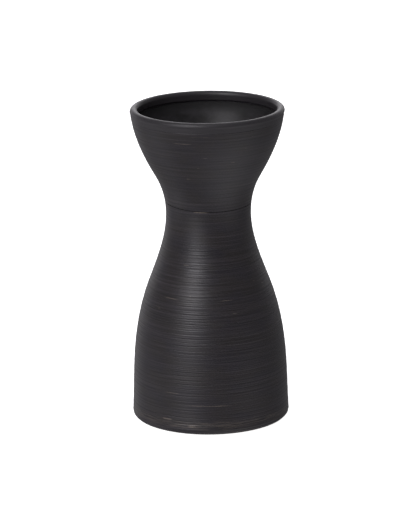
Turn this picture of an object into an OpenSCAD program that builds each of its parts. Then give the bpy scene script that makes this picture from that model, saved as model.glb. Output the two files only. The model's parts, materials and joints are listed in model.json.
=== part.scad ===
// Hourglass stoneware vase. Two thrown wall sections, a floor slab, a foot coil and a
// lip coil are luted together with slip, and the inside is lined with glaze.
// Millimetres, +Z up, origin at the centre of the foot's resting face.

/* [Overall] */
// Height from the resting face to the crest of the lip
vase_h = 254; // [220:1:300]
// Diameter of the belly, just above the foot
belly_d = 126; // [116:1:140]
// Diameter of the waist, at its narrowest
waist_d = 68; // [60:1:80]
// Diameter across the outside of the lip
lip_d = 123; // [110:1:136]

/* [Walls] */
// Thickness of the thrown wall at the foot, square to its surface
wall_foot_t = 5.4; // [4.4:0.1:6.4]
// Thickness of the thrown wall at the lip, square to its surface
wall_lip_t = 3.8; // [3.6:0.1:4.6]
// Thickness of the floor slab
floor_t = 5.6; // [5:0.1:8]
// Thickness of the glaze that lines the inside
glaze_t = 0.35; // [0.25:0.05:0.6]

/* [Lip] */
// Width of the lip coil, from its inner face to its outer face
lip_w = 6.2; // [6:0.1:8]
// Height of the lip coil that shows inside the mouth
lip_h = 8.6; // [7:0.1:10]

/* [Foot] */
// Distance that the foot coil's outer face stands in from the side of the belly
foot_inset = 5.5; // [5.5:0.1:9]
// Width of the foot coil
foot_w = 7.6; // [6:0.1:10]
// Height of the floor slab's underside above the resting face
foot_h = 2.4; // [2:0.1:4]
// Radius of the rounded corner round the bottom of the belly
corner_r = 4.6; // [3:0.1:4.6]

/* [Joints] */
// Thickness of the slip in each luted joint
slip_t = 0.4; // [0.3:0.05:0.5]
// Height of the tongue that one section stands inside the next
tongue_h = 3; // [2:0.1:3.2]
// Depth of the open groove that the waist joint leaves on the outside
groove_d = 0.5; // [0.3:0.05:0.6]
// Depth that the slip is wiped back to in the joints at the floor and the lip
wiped_d = 0.1; // [0.05:0.05:0.3]

/* [Hidden] */

$fn = 128;
black_body = "#343236";
black_lip = "#3c3b3e";
bare_clay = "#a08468";
dry_slip = "#1f1d1f";
satin_glaze = "#2b2a2c";

belly_r = belly_d / 2;
waist_r = waist_d / 2;
lip_r = lip_d / 2;

// How much the waist is narrower than the belly, and than the lip.
belly_fall = belly_r - waist_r;
cup_rise = lip_r - waist_r;

// Stations of the outer outline, each [height, radius, slope of radius over height].
// The belly runs in to the waist and the cup flares out from it in smooth curves.
stations = [
    [0, belly_r + 0.3, -0.58 * belly_fall / vase_h],
    [vase_h * 0.236, belly_r - 0.09 * belly_fall, -0.875 * belly_fall / vase_h],
    [vase_h * 0.449, waist_r + 0.482 * belly_fall, -3.4 * belly_fall / vase_h],
    [vase_h * 0.661, waist_r, 0],
    [vase_h * 0.787, waist_r + 0.308 * cup_rise, 5.44 * cup_rise / vase_h],
    [vase_h, lip_r, 0.54 * cup_rise / vase_h]
];

// Levels at which one piece ends and the next begins.
floor_z = foot_h + floor_t;
waist_joint_z = vase_h * 0.695;
lip_z = vase_h - lip_h;

// Spacing of the points along each curve.
step_z = 4;
// Angle between the points along each round edge.
step_a = 15;

// Centre of the lip coil's round crest.
crest_r = lip_w / 2;
crest_x = lip_r - crest_r;
crest_z = vase_h - crest_r;

// Rounding of the foot coil's edges.
edge_r = 0.8;
// Height of the bottom of the belly above the resting face.
corner_z = 0.5;
// Depth that the foot coil is let into the floor slab.
foot_seat = 1;

// Cubic through two stations a and b, at height z: its radius, then its slope.
function blend_r(a, b, z) =
    let (h = b[0] - a[0], t = (z - a[0]) / h)
    (2 * t ^ 3 - 3 * t ^ 2 + 1) * a[1] + (t ^ 3 - 2 * t ^ 2 + t) * h * a[2]
    + (3 * t ^ 2 - 2 * t ^ 3) * b[1] + (t ^ 3 - t ^ 2) * h * b[2];

function blend_slope(a, b, z) =
    let (h = b[0] - a[0], t = (z - a[0]) / h)
    (6 * t ^ 2 - 6 * t) * (a[1] - b[1]) / h + (3 * t ^ 2 - 4 * t + 1) * a[2]
    + (3 * t ^ 2 - 2 * t) * b[2];

// Index of the stretch of the outline that height z lies in.
function stretch(z, i = 0) =
    i >= len(stations) - 2 || z < stations[i + 1][0] ? i : stretch(z, i + 1);

function outer_r(z) = let (i = stretch(z)) blend_r(stations[i], stations[i + 1], z);
function outer_slope(z) = let (i = stretch(z)) blend_slope(stations[i], stations[i + 1], z);
// Radius of the surface that lies depth inside the outer one, square to it.
function inset_r(z, depth) = outer_r(z) - depth * sqrt(1 + outer_slope(z) ^ 2);
// The wall thins evenly from the foot to the lip.
function wall_t(z) = wall_foot_t + (wall_lip_t - wall_foot_t) * z / vase_h;
function inner_r(z, coat = 0) = inset_r(z, wall_t(z) + coat);
// Radius of the face down the middle of a wall joint.
function mid_r(z) = (outer_r(z) + inner_r(z)) / 2;

// Heights from a to b: both ends, and every whole step between them.
function levels(a, b) = [
    a,
    for (k = [floor(a / step_z) + 1:ceil(b / step_z) - 1]) k * step_z,
    b
];
function reverse(list) = [for (i = [len(list) - 1:-1:0]) list[i]];
// The outer face going up, and the inner face, or a coat on it, going down.
function outside(a, b) = [for (z = levels(a, b)) [outer_r(z), z]];
function inside(a, b, coat = 0) = reverse([for (z = levels(a, b)) [inner_r(z, coat), z]]);
function arc(x, z, r, from, to) =
    let (n = ceil(abs(to - from) / step_a))
    [for (i = [0:n]) let (a = from + (to - from) * i / n) [x + r * cos(a), z + r * sin(a)]];

// Top edge of a section, from its outer face to its inner one: a shoulder, then a
// tongue that rises along the inside of the wall.
function tongue(z) = [
    [mid_r(z), z],
    [mid_r(z), z + tongue_h]
];
// Bottom edge of the section above, from its inner face to its outer one, a slip's
// thickness clear of the tongue that it fits over.
function rebate(z) = [
    [mid_r(z) + slip_t, z + tongue_h + slip_t],
    [mid_r(z) + slip_t, z + slip_t]
];

// A wall from the joint at height a to the joint at height b.
module wall(a, b) {
    rotate_extrude()
        polygon(concat(
            rebate(a),
            outside(a + slip_t, b),
            tongue(b),
            inside(a + tongue_h + slip_t, b + tongue_h)
        ));
}

// The slip between a tongue and the rebate over it, its outer edge set back by depth.
module joint_slip(z, depth) {
    top = z + tongue_h;
    rotate_extrude()
        polygon([
            [inset_r(z, depth), z],
            [mid_r(z), z],
            [mid_r(z), top],
            [inner_r(top), top],
            [inner_r(top + slip_t), top + slip_t],
            [mid_r(z) + slip_t, top + slip_t],
            [mid_r(z) + slip_t, z + slip_t],
            [inset_r(z + slip_t, depth), z + slip_t]
        ]);
}

// The corner's arc meets the belly's outline, and the foot coil stands inside it.
corner_x = outer_r(corner_z + corner_r) - corner_r;
foot_out = outer_r(corner_z + corner_r) - foot_inset;
foot_in = foot_out - foot_w;
foot_top = foot_h + foot_seat;

module foot_coil() {
    color(bare_clay)
        rotate_extrude()
            polygon(concat(
                arc(foot_out - edge_r, edge_r, edge_r, -90, 0),
                [[foot_out, foot_top], [foot_in, foot_top]],
                arc(foot_in + edge_r, edge_r, edge_r, 180, 270)
            ));
}

// The slip round the top of the foot coil, in the groove that the slab has for it.
module foot_joint_slip() {
    color(dry_slip)
        rotate_extrude()
            polygon([
                [foot_out, corner_z + slip_t],
                [foot_out + slip_t, corner_z + slip_t],
                [foot_out + slip_t, foot_top + slip_t],
                [foot_in - slip_t, foot_top + slip_t],
                [foot_in - slip_t, foot_h],
                [foot_in, foot_h],
                [foot_in, foot_top],
                [foot_out, foot_top]
            ]);
}

module floor_slab() {
    color(black_body)
        rotate_extrude()
            polygon(concat(
                [
                    [0, foot_h],
                    [foot_in - slip_t, foot_h],
                    [foot_in - slip_t, foot_top + slip_t],
                    [foot_out + slip_t, foot_top + slip_t],
                    [foot_out + slip_t, corner_z]
                ],
                arc(corner_x, corner_z + corner_r, corner_r, -90, 0),
                outside(corner_z + corner_r + 1, floor_z),
                tongue(floor_z),
                [
                    [inner_r(floor_z + tongue_h), floor_z + tongue_h],
                    [inner_r(floor_z), floor_z],
                    [0, floor_z]
                ]
            ));
}

module floor_joint_slip() color(dry_slip) joint_slip(floor_z, wiped_d);

module lower_section() color(black_body) wall(floor_z, waist_joint_z);

module waist_joint_slip() color(dry_slip) joint_slip(waist_joint_z, groove_d);

// The cup's top edge is a tongue down its middle, which stands in the lip coil.
lip_tongue_w = wall_lip_t - 2 * (slip_t + wiped_d + 0.6);
lip_tongue_out = mid_r(lip_z) + lip_tongue_w / 2;
lip_tongue_in = mid_r(lip_z) - lip_tongue_w / 2;

module upper_section() {
    a = waist_joint_z;
    color(black_body)
        rotate_extrude()
            polygon(concat(
                rebate(a),
                outside(a + slip_t, lip_z),
                [
                    [lip_tongue_out, lip_z],
                    [lip_tongue_out, lip_z + tongue_h],
                    [lip_tongue_in, lip_z + tongue_h],
                    [lip_tongue_in, lip_z]
                ],
                inside(a + tongue_h + slip_t, lip_z)
            ));
}

// The slip wraps over the tongue, from one face of the wall to the other.
module lip_joint_slip() {
    top = lip_z + tongue_h;
    color(dry_slip)
        rotate_extrude()
            polygon([
                [inset_r(lip_z, wiped_d), lip_z],
                [inset_r(lip_z, wiped_d), lip_z + slip_t],
                [lip_tongue_out + slip_t, lip_z + slip_t],
                [lip_tongue_out + slip_t, top + slip_t],
                [lip_tongue_in - slip_t, top + slip_t],
                [lip_tongue_in - slip_t, lip_z + slip_t],
                [inner_r(lip_z), lip_z + slip_t],
                [inner_r(lip_z), lip_z],
                [lip_tongue_in, lip_z],
                [lip_tongue_in, top],
                [lip_tongue_out, top],
                [lip_tongue_out, lip_z]
            ]);
}

// A rolled coil: full round on its crest, with its inner edge turned under.
module lip_coil() {
    base = lip_z + slip_t;
    top = lip_z + tongue_h + slip_t;
    inner = crest_x - crest_r;
    under_r = min(1.8, lip_tongue_in - slip_t - inner - 0.1);
    color(black_lip)
        rotate_extrude()
            polygon(concat(
                outside(base, crest_z - 1),
                arc(crest_x, crest_z, crest_r, 0, 180),
                arc(inner + under_r, base + under_r, under_r, 180, 270),
                [
                    [lip_tongue_in - slip_t, base],
                    [lip_tongue_in - slip_t, top],
                    [lip_tongue_out + slip_t, top],
                    [lip_tongue_out + slip_t, base]
                ]
            ));
}

// The glaze runs over the floor and up the wall to the underside of the lip coil, and
// pools in the corner between floor and wall.
module liner_glaze() {
    pool_r = 2.5;
    pool_z = floor_z + glaze_t + pool_r;
    pool_x = inner_r(pool_z, glaze_t) - pool_r;
    color(satin_glaze)
        rotate_extrude()
            polygon(concat(
                [[0, floor_z]],
                reverse(inside(floor_z, lip_z)),
                inside(pool_z + 1, lip_z, glaze_t),
                arc(pool_x, pool_z, pool_r, 0, -90),
                [[0, floor_z + glaze_t]]
            ));
}

foot_coil();
foot_joint_slip();
floor_slab();
floor_joint_slip();
lower_section();
waist_joint_slip();
upper_section();
lip_joint_slip();
lip_coil();
liner_glaze();
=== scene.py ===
import json
import math

import bmesh
import bpy
import numpy as np
from mathutils import Matrix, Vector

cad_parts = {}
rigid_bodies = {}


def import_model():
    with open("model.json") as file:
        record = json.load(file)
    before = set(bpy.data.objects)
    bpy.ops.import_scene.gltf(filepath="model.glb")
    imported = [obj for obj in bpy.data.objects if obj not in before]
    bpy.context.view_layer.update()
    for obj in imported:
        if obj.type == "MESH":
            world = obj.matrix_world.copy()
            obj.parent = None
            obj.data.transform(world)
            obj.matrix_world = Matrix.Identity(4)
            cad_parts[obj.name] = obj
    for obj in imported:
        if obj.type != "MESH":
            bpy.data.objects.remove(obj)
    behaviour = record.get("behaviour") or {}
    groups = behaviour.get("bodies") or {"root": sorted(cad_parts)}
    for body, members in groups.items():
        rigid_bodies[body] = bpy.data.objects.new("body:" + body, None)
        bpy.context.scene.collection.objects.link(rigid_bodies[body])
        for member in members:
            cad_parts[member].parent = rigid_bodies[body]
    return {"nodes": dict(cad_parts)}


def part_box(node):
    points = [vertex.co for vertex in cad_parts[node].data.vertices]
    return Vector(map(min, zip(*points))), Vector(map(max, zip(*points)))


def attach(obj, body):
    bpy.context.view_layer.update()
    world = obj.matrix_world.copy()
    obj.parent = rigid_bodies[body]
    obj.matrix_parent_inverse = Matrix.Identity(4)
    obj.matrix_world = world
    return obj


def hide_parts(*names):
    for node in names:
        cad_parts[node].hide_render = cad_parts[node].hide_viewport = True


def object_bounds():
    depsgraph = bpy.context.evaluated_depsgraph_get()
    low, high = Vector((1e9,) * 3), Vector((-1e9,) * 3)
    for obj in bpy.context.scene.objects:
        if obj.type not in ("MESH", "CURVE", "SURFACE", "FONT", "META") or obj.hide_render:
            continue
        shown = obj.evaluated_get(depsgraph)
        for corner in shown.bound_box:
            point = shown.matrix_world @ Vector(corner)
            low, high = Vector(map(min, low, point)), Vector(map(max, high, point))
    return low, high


# Blender's own starting objects, which would count in the bounds.
for spare in list(bpy.data.objects):
    bpy.data.objects.remove(spare)

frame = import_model()
cad_low, cad_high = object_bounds()

MM = 0.001
MICRON = 1e-6
SEED = 41

# Lathed meshes: columns round the axis, and the spacing of rows along combed faces, plain
# faces and small rounds. A run whose points are closer than ROUND_POINTS is a small round.
COLUMNS = 160
FINE_ROW = 0.34 * MM
SMOOTH_ROW = 2.4 * MM
ROUND_ROW = 0.35 * MM
ROUND_POINTS = 2 * MM

# An outline turns a corner where it bends by more than CORNER_TURN. Corners are eased by
# EDGE_RADIUS, and an edge left sharper than SHARP_TURN is shaded as a sharp one.
CORNER_TURN = math.radians(32)
EDGE_RADIUS = 0.22 * MM
SHARP_TURN = math.radians(50)

# How near the outside a point has to be to lie on it, and to be brought out level with it.
ON_OUTSIDE = 0.06 * MM
NEAR_OUTSIDE = 0.3 * MM
# How near the plane y = 0 a CAD point has to be to lie in it, and how near two points are one.
ON_SEAM = 0.1 * MICRON
WELD = 1e-7


# ---------------------------------------------------------------- outlines from the CAD

def cad_outline(node):
    """The CAD node's outline in the half plane y = 0, as (radius, height) rows, and if it closes.

    The outline is the chain of mesh edges in that plane, kept in whole micrometres. One that
    doesn't close ends at the rims of two flat discs, so it is carried in to the axis.
    """
    mesh = frame["nodes"][node].data
    place = [v.co for v in mesh.vertices]
    key = [(round(p.x / MICRON), round(p.z / MICRON)) for p in place]
    seam = [abs(p.y) < ON_SEAM and p.x > -ON_SEAM for p in place]
    joined = {}
    for edge in mesh.edges:
        a, b = edge.vertices
        if seam[a] and seam[b] and key[a] != key[b]:
            joined.setdefault(key[a], set()).add(key[b])
            joined.setdefault(key[b], set()).add(key[a])
    ends = sorted(k for k, near in joined.items() if len(near) == 1)
    here = ends[0] if ends else min(joined)
    order = [here]
    while True:
        onward = sorted(k for k in joined[order[-1]] if k not in order[-2:] and k != order[0])
        if len(order) == 1:
            onward = onward[:1]
        if not onward:
            break
        order.append(onward[0])
        if len(order) > len(joined):
            break
    outline = [tuple(p) for p in np.array(order) * MICRON]
    if ends and outline[0][0] > 0:
        outline.insert(0, (0, outline[0][1]))
    if ends and outline[-1][0] > 0:
        outline.append((0, outline[-1][1]))
    return np.array(outline), not ends


def turn_at(before, here, after):
    """How far a path turns at a point, in radians."""
    a = here - before
    b = after - here
    return abs(math.atan2(a[0] * b[1] - a[1] * b[0], a @ b))


def curve_through(points, spacing):
    """Points closely spaced along a smooth curve through the given ones, inside their box."""
    if len(points) < 3:
        return np.array(points)
    steps = np.linalg.norm(np.diff(points, axis=0), axis=1)
    along = np.concatenate([[0], np.cumsum(steps)])
    secant = np.diff(points, axis=0) / steps[:, None]
    weight = steps[1:, None], steps[:-1, None]
    slope = np.empty_like(points)
    slope[1:-1] = (secant[:-1] * weight[0] + secant[1:] * weight[1]) / (weight[0] + weight[1])
    slope[0] = 1.5 * secant[0] - 0.5 * slope[1]
    slope[-1] = 1.5 * secant[-1] - 0.5 * slope[-2]
    count = max(2, math.ceil(along[-1] / spacing) + 1)
    at = np.linspace(0, along[-1], count)
    i = np.clip(np.searchsorted(along, at, side="right") - 1, 0, len(steps) - 1)
    h = steps[i][:, None]
    t = ((at - along[i]) / steps[i])[:, None]
    smooth = (
        (2 * t**3 - 3 * t**2 + 1) * points[i]
        + (t**3 - 2 * t**2 + t) * h * slope[i]
        + (3 * t**2 - 2 * t**3) * points[i + 1]
        + (t**3 - t**2) * h * slope[i + 1]
    )
    return np.clip(smooth, points.min(axis=0), points.max(axis=0))


def split_at_corners(points, closed):
    """The outline as smooth runs that start and end at its corners."""
    n = len(points)
    inner = range(n) if closed else range(1, n - 1)
    corners = [
        i for i in inner
        if turn_at(points[i - 1], points[i], points[(i + 1) % n]) > CORNER_TURN
    ]
    if not closed:
        stops = [0] + corners + [n - 1]
        return [points[a:b + 1] for a, b in zip(stops, stops[1:])]
    runs = []
    for a, b in zip(corners, corners[1:] + [corners[0] + n]):
        runs.append(np.array([points[k % n] for k in range(a, b + 1)]))
    return runs


def round_corner(before, corner, after, radius):
    """Three points in place of a sharp corner, cut back along both sides."""
    most = 0.42
    a = before - corner
    b = after - corner
    back = min(radius, most * np.linalg.norm(a), most * np.linalg.norm(b))
    p = corner + a / np.linalg.norm(a) * back
    q = corner + b / np.linalg.norm(b) * back
    return [p, 0.25 * p + 0.5 * corner + 0.25 * q, q]


def outer_run(node):
    """The run of a node's outline that is its outer face, from the bottom up to its crest."""
    points, closed = cad_outline(node)
    tall = 0.4 * np.ptp(points[:, 1])
    faces = [run for run in split_at_corners(points, closed) if np.ptp(run[:, 1]) > tall]
    face = max(faces, key=lambda run: run[:, 0].mean())
    if face[0, 1] > face[-1, 1]:
        face = face[::-1]
    crest = int(face[:, 1].argmax())
    return curve_through(face[:crest + 1], FINE_ROW)


WALL_NODES = ("floor_slab", "lower_section", "upper_section", "lip_coil")
wall_face = np.vstack([outer_run(node) for node in WALL_NODES])
wall_face = wall_face[np.concatenate([[True], np.diff(wall_face[:, 1]) > WELD])]
waist_joint_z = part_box("waist_joint_slip")[0].z


def outer_radius(height):
    """Radius of the outside of the vase at a height, as the CAD has it."""
    return np.interp(height, wall_face[:, 1], wall_face[:, 0])


def on_wall(points, within=ON_OUTSIDE):
    """Which points lie on the outside of the vase."""
    return np.abs(points[..., 0] - outer_radius(points[..., 1])) < within


def refined(node, flush=False):
    """The node's outline with its curves smoothed and its edges eased.

    The outside gets fine rows for the comb lines. Edges on the outside stay sharp, so that a
    wiped joint doesn't show, but those of the waist joint are eased. With flush, the outer
    edge of a ring of slip is brought out level with the wall.
    """
    waist_zone = 2 * MM
    points, closed = cad_outline(node)
    if flush:
        near = on_wall(points, NEAR_OUTSIDE)
        points[near, 0] = outer_radius(points[near, 1])
    rows = []
    for run in split_at_corners(points, closed):
        length = np.linalg.norm(np.diff(run, axis=0), axis=1)
        spacing = ROUND_ROW if length.mean() < ROUND_POINTS and len(run) > 4 else SMOOTH_ROW
        if len(run) > 2 and on_wall(run).mean() > 0.4:
            spacing = FINE_ROW
        rows.append(curve_through(run, spacing))
    loop = []
    for k, run in enumerate(rows):
        following = rows[(k + 1) % len(rows)]
        first_free = closed or k > 0
        last_free = closed or k < len(rows) - 1
        loop.extend(run[1 if first_free else 0:len(run) - 1 if last_free else len(run)])
        if last_free:
            corner = run[-1]
            waist = abs(corner[1] - waist_joint_z) < waist_zone
            if on_wall(corner) and not waist:
                loop.append(corner)
            else:
                loop.extend(round_corner(run[-2], corner, following[1], EDGE_RADIUS))
    return np.array(loop), closed


# ---------------------------------------------------------------- colours and node helpers

def srgb(text):
    """A hex colour as the linear values that the renderer takes."""
    parts = [int(text[i:i + 2], 16) / 255 for i in (1, 3, 5)]
    linear = [c / 12.92 if c <= 0.04045 else ((c + 0.055) / 1.055) ** 2.4 for c in parts]
    return (*linear, 1)


def add(tree, kind, settings=None, **links):
    """Adds a shader node with its settings and links.

    A link is named for its input, or i and the input's number, and is a socket or a plain value.
    """
    made = tree.nodes.new(kind)
    for key, value in (settings or {}).items():
        setattr(made, key, value)
    for key, value in links.items():
        numbered = key[0] == "i" and key[1:].isdigit()
        socket = made.inputs[int(key[1:]) if numbered else key]
        if isinstance(value, bpy.types.NodeSocket):
            tree.links.new(value, socket)
        else:
            socket.default_value = value
    return made


def new_material(name):
    """An empty material with a principled shader: the material, its node tree and the shader."""
    material = bpy.data.materials.new(name)
    material.use_nodes = True
    tree = material.node_tree
    tree.nodes.clear()
    shader = tree.nodes.new("ShaderNodeBsdfPrincipled")
    output = tree.nodes.new("ShaderNodeOutputMaterial")
    tree.links.new(shader.outputs[0], output.inputs["Surface"])
    return material, tree, shader


def stretched(tree, across, along):
    """Object coordinates scaled so that a pattern is across mm wide round the vase and along mm tall."""
    where = add(tree, "ShaderNodeTexCoord").outputs["Object"]
    scale = (1 / (across * MM), 1 / (across * MM), 1 / (along * MM))
    return add(tree, "ShaderNodeMapping", Vector=where, Scale=scale).outputs[0]


def noise(tree, across, along, detail=2.0, roughness=0.5):
    """A cloudy pattern from 0 to 1, across by along in mm."""
    where = stretched(tree, across, along)
    made = add(tree, "ShaderNodeTexNoise", Vector=where, Scale=1.0, Detail=detail, Roughness=roughness)
    return made.outputs["Fac"]


def ranged(tree, value, low, high, out_low, out_high):
    """The value carried from the range low to high into the range out_low to out_high."""
    return add(tree, "ShaderNodeMapRange", i0=value, i1=low, i2=high, i3=out_low, i4=out_high).outputs[0]


def blend(tree, factor, a, b):
    """Colour a where the factor is 0, colour b where it is 1."""
    return add(tree, "ShaderNodeMix", {"data_type": "RGBA"}, i0=factor, i6=a, i7=b).outputs[2]


def calculate(tree, operation, a, b):
    """One step of arithmetic on two values, of which EXPONENT uses only the first."""
    return add(tree, "ShaderNodeMath", {"operation": operation}, i0=a, i1=b).outputs[0]


def attribute(tree, name):
    """One of the values that a lathed mesh carries at its points: wear or groove."""
    return add(tree, "ShaderNodeAttribute", {"attribute_name": name}).outputs["Fac"]


def bumped(tree, shader, height, strength, distance):
    """Gives a shader fine relief, distance deep in mm."""
    bump = add(tree, "ShaderNodeBump", Height=height, Strength=strength, Distance=distance * MM)
    tree.links.new(bump.outputs[0], shader.inputs["Normal"])


# ---------------------------------------------------------------- materials

CERAMIC_IOR = 1.5


def black_slip():
    """Matt black slip over tan stoneware, combed on the wheel.

    The ridges between the comb lines are burnished, so smoother than the grooves, which are
    painted darker as painted shade. Where the slip is rubbed thin, fine streaks of clay show.
    """
    material, tree, shader = new_material("matt_black_slip")
    drag = noise(tree, 60, 0.9, 3.0, 0.6)
    cloud = noise(tree, 24, 12, 3.0, 0.6)
    grit = noise(tree, 0.9, 0.6, 2.0, 0.6)
    streak = noise(tree, 11, 0.6, 3.0, 0.55)
    groove = attribute(tree, "groove")
    cool = blend(tree, ranged(tree, cloud, 0.40, 0.60, 0, 1), srgb("#221f25"), srgb("#252122"))
    paler = blend(tree, ranged(tree, drag, 0.45, 0.72, 0, 0.7), cool, srgb("#3d383d"))
    # Painted shade in the comb grooves: the colour is darkened towards #131214 by the groove value.
    groove_painted_shade = blend(tree, calculate(tree, "MULTIPLY", groove, 0.7), paler, srgb("#131214"))
    rubbed = calculate(tree, "MULTIPLY", attribute(tree, "wear"), 0.75)
    rubbed = calculate(tree, "ADD", calculate(tree, "MULTIPLY", streak, 0.5), rubbed)
    thin = ranged(tree, streak, 0.72, 0.86, 0, 0.4)
    bared = calculate(tree, "MAXIMUM", ranged(tree, rubbed, 0.50, 0.88, 0, 0.8), thin)
    colour = blend(tree, bared, groove_painted_shade, srgb("#7a7066"))
    tree.links.new(colour, shader.inputs["Base Color"])
    rough = ranged(tree, drag, 0.3, 0.7, 0.30, 0.38)
    rough = calculate(tree, "ADD", rough, calculate(tree, "MULTIPLY", groove, 0.2))
    tree.links.new(rough, shader.inputs["Roughness"])
    coarse = calculate(tree, "MULTIPLY", drag, 0.6)
    height = calculate(tree, "ADD", coarse, calculate(tree, "MULTIPLY", grit, 0.3))
    bumped(tree, shader, height, 0.6, 0.06)
    shader.inputs["IOR"].default_value = CERAMIC_IOR
    return material


def satin_black(name, colour, roughness, shade_band=None):
    """Satin black glaze, smooth, with a faint unevenness from the brush and the kiln.

    Given a (low, high) pair of heights as the last argument, the glaze is painted darker and
    made drier from the low one up to the high one, as painted shade under a lip.
    """
    material, tree, shader = new_material(name)
    cloud = noise(tree, 9, 6, 3.0, 0.5)
    tone = blend(tree, ranged(tree, cloud, 0.35, 0.65, 0, 1), srgb(colour), srgb("#2d2b2e"))
    rough = ranged(tree, cloud, 0.3, 0.7, roughness - 0.03, roughness + 0.04)
    if shade_band:
        where = add(tree, "ShaderNodeTexCoord").outputs["Object"]
        up = add(tree, "ShaderNodeSeparateXYZ", i0=where).outputs[2]
        # Painted shade under the lip: towards the top of the liner the colour is darkened to #100f11.
        painted_lip_shade = ranged(tree, up, *shade_band, 0, 1)
        tone = blend(tree, painted_lip_shade, tone, srgb("#100f11"))
        rough = calculate(tree, "ADD", rough, calculate(tree, "MULTIPLY", painted_lip_shade, 0.35))
    tree.links.new(tone, shader.inputs["Base Color"])
    tree.links.new(rough, shader.inputs["Roughness"])
    fine = noise(tree, 0.8, 0.8, 2.0, 0.5)
    bumped(tree, shader, fine, 0.25, 0.03)
    shader.inputs["IOR"].default_value = CERAMIC_IOR
    return material


def bare_clay():
    """Unglazed fired stoneware, tan, wiped with a sponge: gritty, with iron specks."""
    material, tree, shader = new_material("bare_tan_stoneware")
    cloud = noise(tree, 14, 14, 4.0, 0.6)
    specks = noise(tree, 1.1, 1.1, 1.0, 0.5)
    tone = blend(tree, ranged(tree, cloud, 0.35, 0.65, 0, 1), srgb("#9c7f62"), srgb("#86694f"))
    tone = blend(tree, ranged(tree, specks, 0.66, 0.72, 0, 0.8), tone, srgb("#3d2c22"))
    tree.links.new(tone, shader.inputs["Base Color"])
    shader.inputs["Roughness"].default_value = 0.85
    grit = noise(tree, 0.45, 0.45, 3.0, 0.6)
    bumped(tree, shader, grit, 0.6, 0.12)
    return material


def dry_slip():
    """Luting slip left in a joint: dark, dry and grainy."""
    material, tree, shader = new_material("dry_joint_slip")
    tone = blend(tree, noise(tree, 2, 1, 2.0, 0.5), srgb("#1a1819"), srgb("#2a2526"))
    tree.links.new(tone, shader.inputs["Base Color"])
    shader.inputs["Roughness"].default_value = 0.8
    return material


# ---------------------------------------------------------------- relief of the combed walls

# Spacing of the relief's rows, the height they go up to, and the height above which the lip
# is left smooth, in mm.
GRID = 0.1
RELIEF_TOP = 256
COMB_TOP = 248.4

# Height above the foot in mm, and how deep a full comb line is cut there in mm.
COMB_DEPTH = [
    (0, 0.22), (22, 0.26), (40, 0.22), (60, 0.20), (78, 0.24), (100, 0.31), (126, 0.31), (140, 0.18),
    (152, 0.10), (166, 0.04), (180, 0.03), (200, 0.05), (225, 0.065), (240, 0.07), (246, 0.05),
    (COMB_TOP, 0.0), (255, 0.0),
]

# Kinds of comb line: least and most spacing, least and most half width, in mm, and depth.
COMB_KINDS = [
    (2.0, 3.6, 0.34, 0.52, 0.95),
    (0.9, 1.7, 0.24, 0.34, 0.6),
    (6.0, 11.0, 1.5, 2.4, 0.4),
]

# How far the ridges beside a comb line are thrown up, as a share of the line's depth. The
# whole combed face sits that much lower, and no ridge stands outside the wall. A ridge's crest
# is RIDGE_OFF half widths from the middle of its line.
RIDGE = 0.35
RIDGE_OFF = 1.7


def round_wave(rng, theta, terms):
    """A smooth random wave round the vase, about 0 and within 1 of it."""
    wave = sum(
        rng.uniform(-1, 1) * np.cos(k * theta + rng.uniform(0, 2 * math.pi)) / k**0.5
        for k in range(1, terms + 1)
    )
    return np.clip(wave / terms**0.5, -1, 1)


def comb_field():
    """Relief in mm, and how deep in a groove from 0 to 1, over a grid of heights and columns."""
    rng = np.random.default_rng(SEED)
    heights = np.arange(0, RELIEF_TOP, GRID)
    theta = np.arange(COLUMNS) * 2 * math.pi / COLUMNS
    relief = np.zeros((len(heights), COLUMNS))
    groove = np.zeros_like(relief)
    waver = 0.3 * round_wave(rng, theta, 3)
    depth = np.interp(heights, *zip(*COMB_DEPTH))[:, None]
    for low, high, thin, wide, share in COMB_KINDS:
        at = rng.uniform(0, high)
        while at < COMB_TOP:
            width = rng.uniform(thin, wide)
            strength = rng.uniform(0.3, 1.0)
            fade = np.clip(0.75 + 0.6 * round_wave(rng, theta, 7), 0.1, 1)
            centre = at + waver + 0.1 * round_wave(rng, theta, 4)
            first = max(0, int((at - 4 * wide - 1) / GRID))
            last = min(len(heights), int((at + 4 * wide + 1) / GRID))
            off = (heights[first:last, None] - centre) / width
            line = strength * share * fade * np.exp(-off**2)
            thrown_up = RIDGE * strength * share * fade * np.exp(-(np.abs(off) - RIDGE_OFF) ** 2 / 0.5)
            relief[first:last] -= depth[first:last] * (line - thrown_up)
            if wide < 1:
                groove[first:last] = np.maximum(groove[first:last], line)
            at += rng.uniform(low, high)
    return heights, np.minimum(relief - RIDGE * depth, 0), groove


# Where the slip is rubbed through to the clay, as (height, from, to, half height, strength):
# mm above the foot, and degrees round from the front, to the right positive.
WORN = [
    (243, -20, 10, 0.3, 0.55),
    (237, -32, -8, 0.3, 0.75),
    (waist_joint_z / MM - 0.4, -24, 3, 0.4, 0.9),
    (134, -32, -22, 0.3, 0.75),
    (108, -48, -27, 0.3, 0.85),
    (108, 6, 26, 0.3, 0.7),
    (34, -38, -21, 0.3, 0.75),
    (25, -28, 22, 0.3, 0.85),
    (12, -39, -28, 1, 0.7),
    (8, -18, -11, 1.2, 0.7),
    (9, -181, 181, 7, 0.4),
    (1.4, -181, 181, 0.9, 0.5),
]
# Short chips in the slip, scattered all the way round: (lowest, highest, how many).
CHIP_BANDS = [(95, 138, 30), (205, 246, 24)]


def worn_marks():
    """The long worn marks and the scattered chips."""
    rng = np.random.default_rng(SEED + 1)
    marks = list(WORN)
    for low, high, count in CHIP_BANDS:
        for _ in range(count):
            start = rng.uniform(-180, 180)
            height = rng.uniform(low, high)
            stop = start + rng.uniform(1, 5)
            marks.append((height, start, stop, 0.3, rng.uniform(0.5, 0.9)))
    return marks


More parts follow.
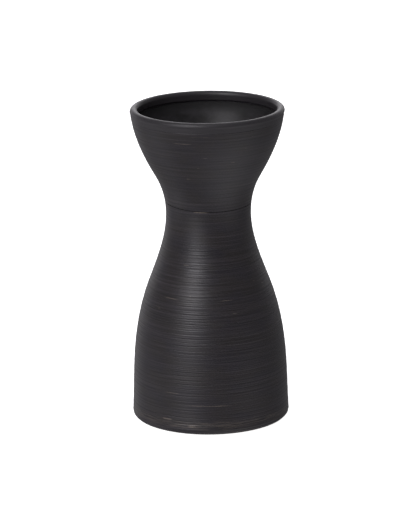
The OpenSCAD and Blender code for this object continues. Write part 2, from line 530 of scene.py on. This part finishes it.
def wear_field(heights):
    """How far the slip is rubbed through, from 0 to 1, over the same grid.

    A mark fades towards its two ends, and runs out a degree or so past them.
    """
    past_end = 1.4
    degrees = np.degrees(np.arange(COLUMNS) * 2 * math.pi / COLUMNS) + 90
    degrees = (degrees + 180) % 360 - 180
    field = np.zeros((len(heights), COLUMNS))
    for height, start, stop, half, strength in worn_marks():
        middle = (start + stop) / 2
        reach = (stop - start) / 2 + past_end
        along = np.clip(1.6 * (1 - np.abs(degrees - middle) / reach), 0, 1)
        up = np.exp(-(((heights - height) / half) ** 2))
        field = np.maximum(field, strength * up[:, None] * along)
    return field


def joint_sway(theta):
    """The waist joint isn't quite level: how far it rises, in m, at each angle round the vase."""
    front = theta + math.pi / 2
    return (-0.7 * np.sin(front) + 0.6 * (1 - np.cos(2 * front)) - 0.3) * MM


row_heights, comb_relief, comb_groove = comb_field()
slip_wear = wear_field(row_heights)

# The rounded corner under the belly, which is combed too though it isn't on the outer run.
corner_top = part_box("foot_joint_slip")[1].z + 3 * MM
corner_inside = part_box("foot_coil")[1].x + 0.4 * MM
# How far above and below the waist joint the walls follow its sway.
SWAY_REACH = 22 * MM


def dress(mesh, sway=False):
    """Gives a lathed mesh its comb relief on the outside, and its wear and groove values.

    With sway, it is first bent up and down along the wall near the waist joint.
    """
    count = len(mesh.vertices)
    co = np.empty(count * 3)
    mesh.vertices.foreach_get("co", co)
    co = co.reshape(-1, 3)
    radius = np.hypot(co[:, 0], co[:, 1])
    theta = np.arctan2(co[:, 1], co[:, 0])
    height = co[:, 2].copy()
    if sway:
        share = np.clip(1 - np.abs(height - waist_joint_z) / SWAY_REACH, 0, 1)
        lift = joint_sway(theta) * share * share * (3 - 2 * share)
        radius += outer_radius(height + lift) - outer_radius(height)
        height += lift
    column = np.round(theta / (2 * math.pi) * COLUMNS).astype(int) % COLUMNS
    row = np.clip(height / MM / GRID, 0, len(row_heights) - 1.001)
    below = row.astype(int)
    part = row - below
    out = np.abs(radius - outer_radius(height)) < ON_OUTSIDE
    combed = out | ((height < corner_top) & (radius > corner_inside))

    def sampled(field):
        return np.where(combed, field[below, column] * (1 - part) + field[below + 1, column] * part, 0)

    step = 0.1 * MM
    slope = (outer_radius(height + step) - outer_radius(height - step)) / (2 * step)
    long = np.sqrt(1 + slope**2)
    push = sampled(comb_relief) * MM
    radius += push / long
    height -= push * slope / long
    co[:, 0] = radius * np.cos(theta)
    co[:, 1] = radius * np.sin(theta)
    co[:, 2] = height
    mesh.vertices.foreach_set("co", co.ravel())
    for name, field in (("wear", slip_wear), ("groove", comb_groove)):
        mesh.attributes.new(name, "FLOAT", "POINT").data.foreach_set("value", sampled(field))
    mesh.update()


# ---------------------------------------------------------------- pieces

def new_object(name, mesh):
    """A mesh put in the scene as an object at the origin."""
    obj = bpy.data.objects.new(name, mesh)
    bpy.context.scene.collection.objects.link(obj)
    return obj


def lathe(name, node, material, combed=False, sway=False, flush=False):
    """A solid turned from a CAD node's refined outline, shown in its place."""
    outline, closed = refined(node, flush)
    bm = bmesh.new()
    verts = [bm.verts.new((r, 0, z)) for r, z in outline]
    pairs = list(zip(verts, verts[1:]))
    if closed:
        pairs.append((verts[-1], verts[0]))
    edges = [bm.edges.new(p) for p in pairs]
    bmesh.ops.spin(
        bm, geom=verts + edges, cent=(0, 0, 0), axis=(0, 0, 1), angle=2 * math.pi,
        steps=COLUMNS, use_merge=True, use_duplicate=False,
    )
    bmesh.ops.remove_doubles(bm, verts=bm.verts, dist=WELD)
    bmesh.ops.recalc_face_normals(bm, faces=bm.faces)
    mesh = bpy.data.meshes.new(name)
    bm.to_mesh(mesh)
    bm.free()
    mesh.polygons.foreach_set("use_smooth", [True] * len(mesh.polygons))
    if combed or sway:
        dress(mesh, sway)
    mesh.set_sharp_from_angle(angle=SHARP_TURN)
    mesh.materials.append(material)
    obj = new_object(name, mesh)
    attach(obj, "root")
    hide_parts(node)
    return obj


slip = black_slip()
joint = dry_slip()
lip = satin_black("satin_black_lip", "#2d2a2e", 0.42)
liner_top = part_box("liner_glaze")[1].z
# The top of the liner gets painted shade this far down, under the lip.
LIP_SHADE_DEPTH = 9 * MM
liner = satin_black("satin_black_liner", "#191819", 0.49, (liner_top - LIP_SHADE_DEPTH, liner_top))
lathe("bare_foot_ring", "foot_coil", bare_clay())
lathe("floor_and_corner", "floor_slab", slip, combed=True)
lathe("floor_joint_wiped", "floor_joint_slip", slip, combed=True, flush=True)
lathe("combed_belly_wall", "lower_section", slip, combed=True, sway=True)
lathe("waist_slip_line", "waist_joint_slip", joint, sway=True)
lathe("combed_cup_wall", "upper_section", slip, combed=True, sway=True)
lathe("lip_joint_wiped", "lip_joint_slip", lip, combed=True, flush=True)
lathe("rolled_lip", "lip_coil", lip, combed=True)
lathe("satin_liner", "liner_glaze", liner)
foot_joint = frame["nodes"]["foot_joint_slip"]
foot_joint.data.materials.clear()
foot_joint.data.materials.append(joint)


# ---------------------------------------------------------------- stage, light and camera

def cove():
    """White paper: a floor disc that curves up into a wall far off, and closes overhead.

    Only the camera sees it, so that it casts no shadow and the light is the surround's alone.
    """
    floor = 8.0
    sweep = 1.5
    wall_top = 5.0
    peak = 9.0
    steps = 8
    bm = bmesh.new()
    path = [(0, 0), (floor, 0)]
    for k in range(1, steps + 1):
        a = math.radians(90 * k / steps)
        path.append((floor + sweep * math.sin(a), sweep * (1 - math.cos(a))))
    path += [(floor + sweep, wall_top), (0, peak)]
    verts = [bm.verts.new((r, 0, z)) for r, z in path]
    edges = [bm.edges.new(p) for p in zip(verts, verts[1:])]
    bmesh.ops.spin(
        bm, geom=verts + edges, cent=(0, 0, 0), axis=(0, 0, 1), angle=2 * math.pi,
        steps=64, use_merge=True, use_duplicate=False,
    )
    bmesh.ops.remove_doubles(bm, verts=bm.verts, dist=MICRON)
    bmesh.ops.recalc_face_normals(bm, faces=bm.faces)
    bmesh.ops.reverse_faces(bm, faces=bm.faces)
    mesh = bpy.data.meshes.new("white_cove")
    bm.to_mesh(mesh)
    bm.free()
    material, tree, shader = new_material("lit_white_paper")
    shader.inputs["Base Color"].default_value = srgb("#f6f6f6")
    shader.inputs["Roughness"].default_value = 0.9
    shader.inputs["Emission Color"].default_value = (1, 1, 1, 1)
    shader.inputs["Emission Strength"].default_value = 1.0
    mesh.materials.append(material)
    obj = new_object("white_cove", mesh)
    obj.visible_diffuse = False
    obj.visible_glossy = False
    obj.visible_shadow = False


# Soft light round the studio, as glowing patches far off, each (azimuth, elevation, tightness,
# level). Azimuth is in degrees round from the camera's side, to the camera's right
# positive; a tighter patch is a smaller one.
LIGHTS = {
    "foot of the tall window": (-32, 28, 45, 3.6),
    "middle of the window": (-34, 38, 45, 4.0),
    "head of the window": (-38, 48, 45, 2.0),
    "pale table before the window": (-36, -5, 16, 1.1),
    "ceiling": (0, 85, 8, 0.5),
    "paper behind": (180, 22, 20, 1.8),
    "card behind, at the left": (-144, -5, 16, 0.35),
    "low card at the left": (-90, -30, 12, 0.5),
    "low card at the right": (60, -25, 10, 0.2),
    "floor": (45, -62, 6, 0.65),
}
FILL = 0.18
LIGHT_TINT = (1.02, 1, 1.035, 1)
# The paper beyond the vase, lit in a band just above the horizon: (elevation, half height) in
# degrees, how tightly it keeps to the far side, and its level.
BACK_BAND = (5, 5, 2.5, 0.8)


def toward(azimuth, elevation):
    """The direction of a light, as a unit vector."""
    a = math.radians(azimuth)
    e = math.radians(elevation)
    return (math.sin(a) * math.cos(e), -math.cos(a) * math.cos(e), math.sin(e))


def glow(tree, way, azimuth, elevation, tightness, level):
    """A round patch of light: level * exp(tightness * (cosine of the angle off its middle - 1))."""
    middle = toward(azimuth, elevation)
    near = add(tree, "ShaderNodeVectorMath", {"operation": "DOT_PRODUCT"}, i0=way, i1=middle)
    near = near.outputs["Value"]
    off = calculate(tree, "MULTIPLY", calculate(tree, "SUBTRACT", near, 1.0), float(tightness))
    return calculate(tree, "MULTIPLY", calculate(tree, "EXPONENT", off, 0.0), level)


def surround():
    """Soft light from all round the studio: fill, the lights and the lit paper at the back."""
    world = bpy.data.worlds.new("studio_surround")
    world.use_nodes = True
    tree = world.node_tree
    tree.nodes.clear()
    way = add(tree, "ShaderNodeTexCoord").outputs["Generated"]
    level = FILL
    for patch in LIGHTS.values():
        level = calculate(tree, "ADD", level, glow(tree, way, *patch))
    elevation, half, tightness, strength = BACK_BAND
    up = add(tree, "ShaderNodeSeparateXYZ", i0=way).outputs[2]
    off = calculate(tree, "SUBTRACT", up, math.sin(math.radians(elevation)))
    off = calculate(tree, "DIVIDE", off, math.sin(math.radians(half)))
    squared = calculate(tree, "MULTIPLY", off, off)
    band = calculate(tree, "EXPONENT", calculate(tree, "MULTIPLY", squared, -1.0), 0.0)
    back = glow(tree, way, 180, 0, tightness, strength)
    level = calculate(tree, "ADD", level, calculate(tree, "MULTIPLY", band, back))
    shine = add(tree, "ShaderNodeBackground", Color=LIGHT_TINT, Strength=level)
    output = tree.nodes.new("ShaderNodeOutputWorld")
    tree.links.new(shine.outputs[0], output.inputs["Surface"])
    bpy.context.scene.world = world


cove()
surround()

bpy.context.scene.view_settings.view_transform = "Standard"

# The camera stands back from the vase, looking a little down on it. Distances in m, the
# lens and the sensor in mm, and the shifts as shares of the sensor.
STAND_OFF = 2.730
EYE_HEIGHT = 0.87475
LENS = 249.5
SENSOR = 36
SHIFT_RIGHT = -0.01004
SHIFT_UP = 0.01260
ROLL = math.radians(-0.74)
FAR = 40

centre = (cad_low + cad_high) / 2
camera_data = bpy.data.cameras.new("camera")
camera_data.lens = LENS
camera_data.sensor_width = SENSOR
camera_data.clip_end = FAR
camera_data.shift_x = SHIFT_RIGHT
camera_data.shift_y = SHIFT_UP
camera = bpy.data.objects.new("camera", camera_data)
bpy.context.scene.collection.objects.link(camera)
camera.location = (centre.x, centre.y - STAND_OFF, EYE_HEIGHT)
camera.rotation_mode = "QUATERNION"
aim = (centre - camera.location).to_track_quat("-Z", "Y")
camera.rotation_quaternion = aim @ Matrix.Rotation(ROLL, 3, "Z").to_quaternion()
bpy.context.scene.camera = camera
